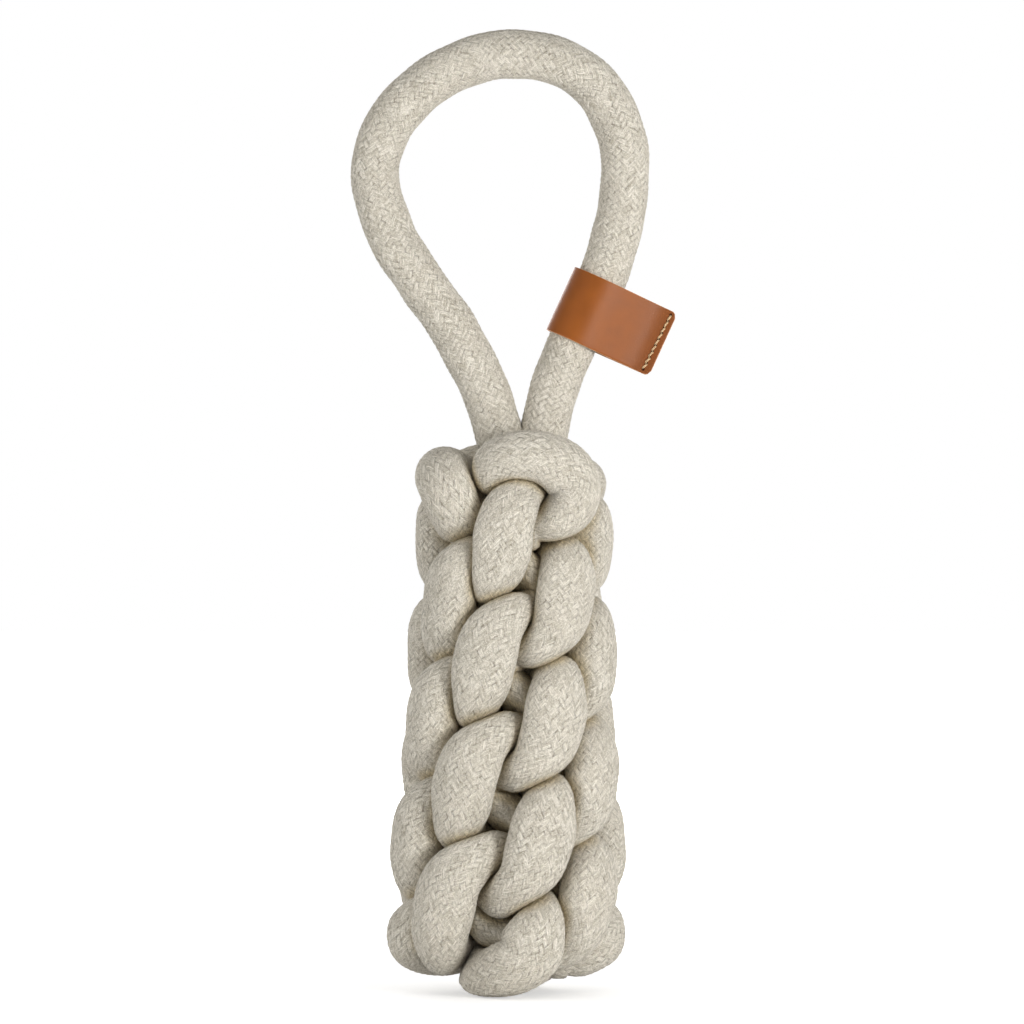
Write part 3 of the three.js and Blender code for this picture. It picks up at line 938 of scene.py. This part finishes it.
def strip_line():
    """The middle of the leather: from its end in front, round the leg, to its end behind."""
    fold = ROPE_RADIUS + TAG_BORE_GAP + LEATHER_THICKNESS / 2
    layer = LAYER_GAP / 2 + LEATHER_THICKNESS / 2
    lap_start = TAG_REACH - TAG_LAP
    leave = math.atan2(layer, lap_start) + math.acos(fold / math.hypot(layer, lap_start))
    angles = np.linspace(leave, 2 * math.pi - leave, FOLD_STEPS)
    round_leg = np.stack([fold * np.cos(angles), fold * np.sin(angles)], axis=1)
    front = np.array([[TAG_REACH, layer], [lap_start, layer]])
    back = np.array([[lap_start, -layer], [TAG_REACH, -layer]])
    line = np.vstack([front, round_leg, back])
    return np.column_stack([line[:, 0], -line[:, 1], np.zeros(len(line))])


stitch_length = (TAG_WIDTH - 2 * SEAM_MARGIN) / STITCH_COUNT
stitch_heights = SEAM_MARGIN + stitch_length * np.arange(STITCH_COUNT + 1) - TAG_WIDTH / 2


def seam_x(height):
    return TAG_REACH - SEAM_FROM_END + SEAM_SLANT * (height / TAG_WIDTH + 0.5)


def stitch_awls():
    """Round tools, one in each stitch hole on both faces, joined into one."""
    surface = LAYER_GAP / 2 + LEATHER_THICKNESS
    awls = []
    for face in (-1, 1):
        for height in stitch_heights:
            place = on_leg((seam_x(height), face * surface, height))
            bpy.ops.mesh.primitive_cylinder_add(
                vertices=16,
                radius=STITCH_HOLE / 2,
                depth=2 * STITCH_HOLE_DEPTH,
                location=tuple(place),
                rotation=(math.pi / 2, 0, 0),
            )
            awls.append(bpy.context.object)
    for awl in awls:
        awl.select_set(True)
    bpy.ops.object.join()
    joined = bpy.context.object
    joined.select_set(False)
    return joined


TAG_ROWS = 120
TAG_COLUMNS = 24
TAG_SOFTNESS = 4  # in rows
TAG_SPARE_ROWS = 15  # straight on from both ends, so that softening keeps the length


def tag_object():
    drawing = strip_line()
    line = evenly(drawing, distances(drawing)[-1] / TAG_ROWS)
    beyond = np.arange(1, TAG_SPARE_ROWS + 1)[:, None]
    start = line[0] + (line[0] - line[1]) * beyond[::-1]
    end = line[-1] + (line[-1] - line[-2]) * beyond
    line = blurred(np.vstack([start, line, end]), TAG_SOFTNESS, 0, False)
    line = line[TAG_SPARE_ROWS:-TAG_SPARE_ROWS]
    places = distances(line)
    from_end = np.minimum(places, places[-1] - places)
    corner = np.maximum(TAG_CORNER - from_end, 0)
    half = TAG_WIDTH / 2 - TAG_CORNER + np.sqrt(np.maximum(TAG_CORNER**2 - corner**2, 0))
    bpy.ops.mesh.primitive_grid_add(
        x_subdivisions=TAG_COLUMNS, y_subdivisions=TAG_ROWS, size=2, location=(0, 0, 0)
    )
    tag = bpy.context.object
    tag.name = "tag_leather"
    tag.data.name = "tag_leather"
    grid = np.empty(len(tag.data.vertices) * 3)
    tag.data.vertices.foreach_get("co", grid)
    grid = grid.reshape(-1, 3)
    row = np.rint((grid[:, 1] + 1) / 2 * TAG_ROWS).astype(int)
    drawn = line[row]
    drawn[:, 2] = grid[:, 0] * half[row]
    tag.data.vertices.foreach_set("co", on_leg(drawn).astype(np.float32).reshape(-1))
    for material in (leather, leather_edge, leather_flesh):
        tag.data.materials.append(material)
    thick = tag.modifiers.new("thickness", "SOLIDIFY")
    thick.thickness = LEATHER_THICKNESS
    thick.offset = 0
    thick.material_offset = 2
    thick.material_offset_rim = 1
    rounded = tag.modifiers.new("soft edges", "BEVEL")
    rounded.width = TAG_EDGE
    rounded.segments = 3
    rounded.limit_method = "ANGLE"
    for modifier in ("thickness", "soft edges"):
        bpy.ops.object.modifier_apply(modifier=modifier)
    tag.select_set(False)
    awls = stitch_awls()
    bpy.context.view_layer.objects.active = tag
    tag.select_set(True)
    holes = tag.modifiers.new("stitch holes", "BOOLEAN")
    holes.object = awls
    holes.operation = "DIFFERENCE"
    holes.solver = "EXACT"
    bpy.ops.object.modifier_apply(modifier="stitch holes")
    bpy.data.objects.remove(awls)
    bpy.ops.object.shade_smooth_by_angle(angle=math.radians(40))
    tag.select_set(False)
    return tag


tag = tag_object()
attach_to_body(tag, "tag")
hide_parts("leather_tag")


def thread_object(name, face):
    """One thread of the seam: over the leather from hole to hole, and down into each hole."""
    surface = LAYER_GAP / 2 + LEATHER_THICKNESS
    over = face * (surface + 0.6 * THREAD_RADIUS)
    under = face * (surface - THREAD_DEPTH)
    draw = np.random.default_rng(5)
    points = []
    for height in stitch_heights[:-1]:
        slant = face * STITCH_SLANT * draw.uniform(0.5, 1.4)
        for share, depth in ((0.08, under), (0.3, over), (0.5, over), (0.7, over), (0.92, under)):
            up = height + share * stitch_length
            points.append((seam_x(up) + slant * (1 - 2 * share), depth, up))
    line = on_leg(evenly(curve_through(points), THREAD_STEP))
    places = distances(line)
    _, across, other = frames_along(line, (1, 0, 0))
    angles = 2 * math.pi * np.arange(THREAD_SIDES) / THREAD_SIDES
    ways = across[:, None] * np.cos(angles)[:, None] + other[:, None] * np.sin(angles)[:, None]
    rings = line[:, None] + THREAD_RADIUS * ways
    u = np.broadcast_to(np.arange(THREAD_SIDES) / THREAD_SIDES, rings.shape[:2])
    v = np.broadcast_to(places[:, None] / PLY_LENGTH, rings.shape[:2])
    return tube_object(name, rings, u, v, 1, thread)


for piece_name, face, node in (
    ("seam_front", -1, "seam_thread_front"),
    ("seam_back", 1, "seam_thread_back"),
):
    seam = thread_object(piece_name, face)
    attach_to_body(seam, "tag")
    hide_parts(node)


# The floor, the light and the camera

AIR_LOW = 0.9  # light from the horizon
AIR_HIGH = 0.36  # and from above


def seen_share(tree):
    """1 on rays that show a thing to the camera or mirror it, and 0 on those that light others."""
    path = tree.nodes.new("ShaderNodeLightPath").outputs
    seen = calc(tree, "MAXIMUM", path["Is Camera Ray"], path["Is Glossy Ray"])
    return calc(tree, "MAXIMUM", seen, path["Is Transmission Ray"])


def floor_material():
    """Pale, and white to the camera away from the toy's shadow."""
    material, tree, shader = new_material("pale floor")
    shader.inputs["Base Color"].default_value = (0.9, 0.9, 0.9, 1)
    shader.inputs["Roughness"].default_value = 0.9
    shader.inputs["Specular IOR Level"].default_value = 0.0
    shader.inputs["Emission Color"].default_value = (1, 1, 1, 1)
    spot = tree.nodes.new("ShaderNodeTexCoord").outputs["Object"]
    away = tree.nodes.new("ShaderNodeVectorMath")
    away.operation = "LENGTH"
    tree.links.new(spot, away.inputs[0])
    glow = ranged(tree, away.outputs["Value"], 0.15, 0.7, 0.45, 1.0)
    tree.links.new(calc(tree, "MULTIPLY", seen_share(tree), glow), shader.inputs["Emission Strength"])
    return material


bpy.ops.mesh.primitive_plane_add(size=12, location=(0, 0, 0))
floor = bpy.context.object
floor.name = "floor"
floor.data.materials.append(floor_material())

world = bpy.data.worlds.new("studio")
bpy.context.scene.world = world
world.use_nodes = True
air = world.node_tree
background = air.nodes["Background"]
background.inputs["Color"].default_value = (1, 1, 1, 1)
sky = air.nodes.new("ShaderNodeSeparateXYZ")
air.links.new(air.nodes.new("ShaderNodeTexCoord").outputs["Generated"], sky.inputs[0])
ambient = ranged(air, sky.outputs["Z"], 0.0, 1.0, AIR_LOW, AIR_HIGH)
air.links.new(chosen(air, seen_share(air), 1.0, ambient), background.inputs["Strength"])


def add_lamp(name, place, target, size, power):
    bpy.ops.object.light_add(type="AREA", location=place)
    lamp = bpy.context.object
    lamp.name = name
    lamp.data.shape = "SQUARE"
    lamp.data.size = size
    lamp.data.energy = power
    way = np.array(target) - np.array(place)
    lamp.rotation_euler = (
        math.atan2(math.hypot(way[0], way[1]), -way[2]),
        0,
        math.atan2(-way[0], way[1]),
    )


add_lamp("key light", (0.64, -0.77, 0.1), (0, 0, 0.06), 0.36, 8.4)
add_lamp("fill light", (-0.65, -0.6, 0.08), (0, 0, 0.02), 0.3, 2.1)
add_lamp("back light", (-0.4, 1.5, 0.25), (0, 0, 0.16), 1.0, 15)

CAMERA_DISTANCE = 2.0
CAMERA_ASIDE = -0.8 * MM
CAMERA_HEIGHT = 160 * MM
SENSOR_WIDTH = 36
PHOTO_HEIGHT = 1024 / 3 * MM
bpy.ops.object.camera_add(
    location=(CAMERA_ASIDE, -CAMERA_DISTANCE, CAMERA_HEIGHT), rotation=(math.pi / 2, 0, 0)
)
camera = bpy.context.object
camera.data.sensor_width = SENSOR_WIDTH
camera.data.lens = SENSOR_WIDTH * CAMERA_DISTANCE / PHOTO_HEIGHT
camera.data.clip_end = 50
bpy.context.scene.camera = camera
bpy.context.scene.view_settings.view_transform = "Standard"
